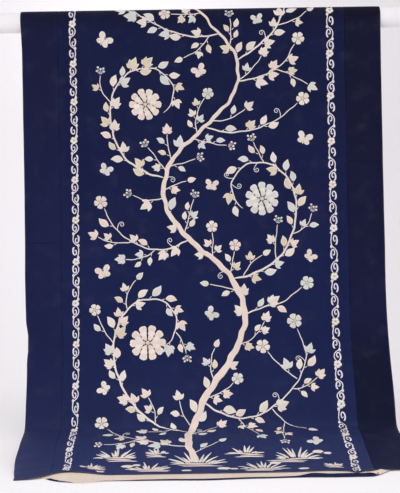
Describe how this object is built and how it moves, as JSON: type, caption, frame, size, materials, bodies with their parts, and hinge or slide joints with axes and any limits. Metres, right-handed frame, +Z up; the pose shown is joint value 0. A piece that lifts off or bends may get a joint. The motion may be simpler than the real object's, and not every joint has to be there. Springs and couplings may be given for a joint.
{
  "type": "embroidered silk panel on a hanging rail",
  "caption": "Long dark blue silk panel with ivory embroidery, hung doubled over a round white rail, its lower end swept forward flat; pieced side bands, pale lining.",
  "frame": {"origin": "on the surface that the lower end lies on, at the middle of the whole thing's footprint", "axes": "+X along the rail, to the right as seen from the embroidered front; -Y the way the front faces and the lower end reaches; +Z up"},
  "size_m": [1.3, 0.5498, 1.1445],
  "materials": {
    "rail_paint": "white satin paint",
    "panel_silk": "dark blue satin-woven silk, ivory silk embroidery",
    "left_band_silk": "dark blue sateen, plain",
    "right_band_silk": "darker, duller blue sateen, plain",
    "lining_cloth": "matt pale cloth"
  },
  "bodies": {
    "root": {"rail": "rail_paint", "centre_panel": "panel_silk", "left_band_upper": "left_band_silk", "left_band_lower": "left_band_silk", "right_band_upper": "right_band_silk", "right_band_lower": "right_band_silk", "lining": "lining_cloth"}
  },
  "joints": []
}
